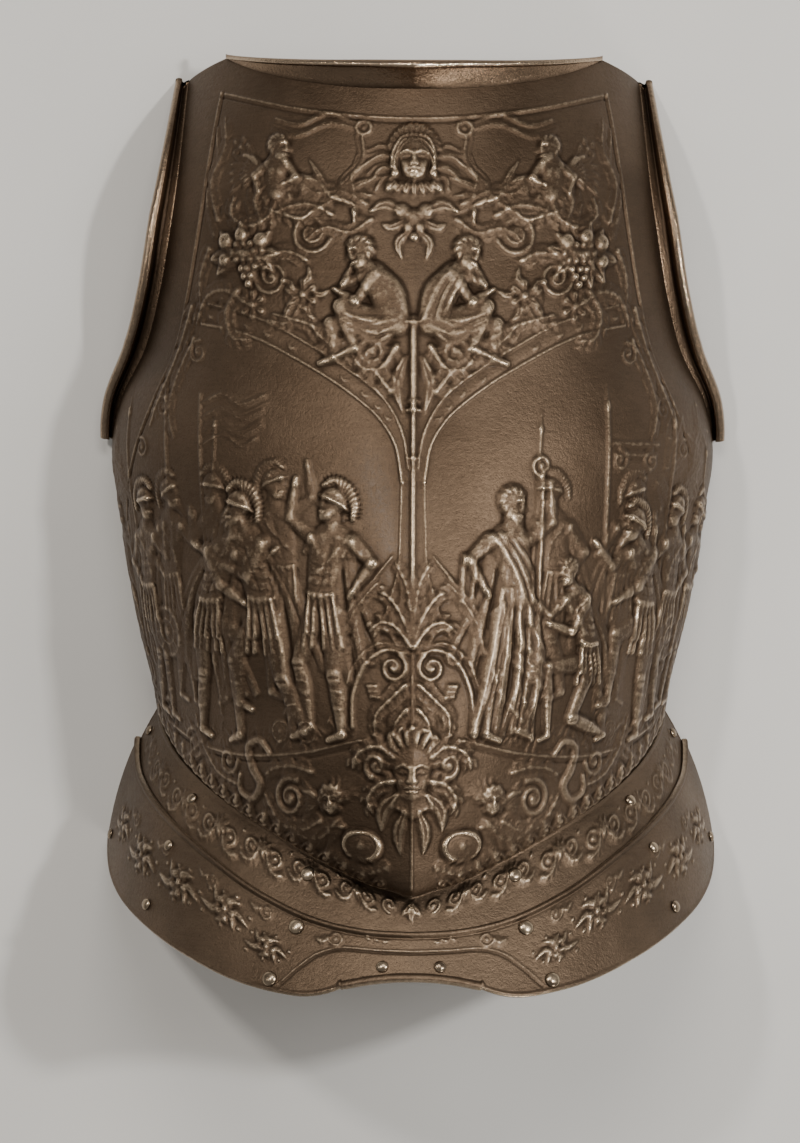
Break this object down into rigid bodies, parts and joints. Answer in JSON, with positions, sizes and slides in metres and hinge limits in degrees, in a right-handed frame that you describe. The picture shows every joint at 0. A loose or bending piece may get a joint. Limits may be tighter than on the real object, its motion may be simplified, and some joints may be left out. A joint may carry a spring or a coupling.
{
  "type": "cuirass breastplate with fauld",
  "caption": "Embossed steel breastplate of peascod form with rolled arm and neck edges and a riveted two-lame fauld; worn over the chest, shown lying on its open back.",
  "frame": {"origin": "on the surface it lies on, under the middle of the whole object's box", "axes": "+X to the picture's right (the wearer's left), +Y from the fauld's rim up to the neck, +Z out of the chest, away from the surface it lies on"},
  "size_m": [0.3572, 0.5196, 0.1914],
  "materials": {
    "russet_steel": "dark russet-brown satin steel, warm and brighter on the worn high relief",
    "fauld_steel": "dark russet-brown satin steel with worn edges",
    "rivet_steel": "worn bright rivet heads with dark rings"
  },
  "bodies": {
    "root": {"breastplate": "russet_steel", "upper_fauld_lame": "fauld_steel", "lower_fauld_lame": "fauld_steel", "waist_rivet_1": "rivet_steel", "waist_rivet_2": "rivet_steel", "waist_rivet_3": "rivet_steel", "waist_rivet_4": "rivet_steel", "flank_rivet_1": "rivet_steel", "flank_rivet_2": "rivet_steel", "line_rivet_1": "rivet_steel", "line_rivet_2": "rivet_steel", "line_rivet_3": "rivet_steel", "line_rivet_4": "rivet_steel", "rim_rivet_1": "rivet_steel", "rim_rivet_2": "rivet_steel", "rim_rivet_3": "rivet_steel", "rim_rivet_4": "rivet_steel", "end_rivet_1": "rivet_steel", "end_rivet_2": "rivet_steel", "arch_rivet_1": "rivet_steel", "arch_rivet_2": "rivet_steel"}
  },
  "joints": []
}
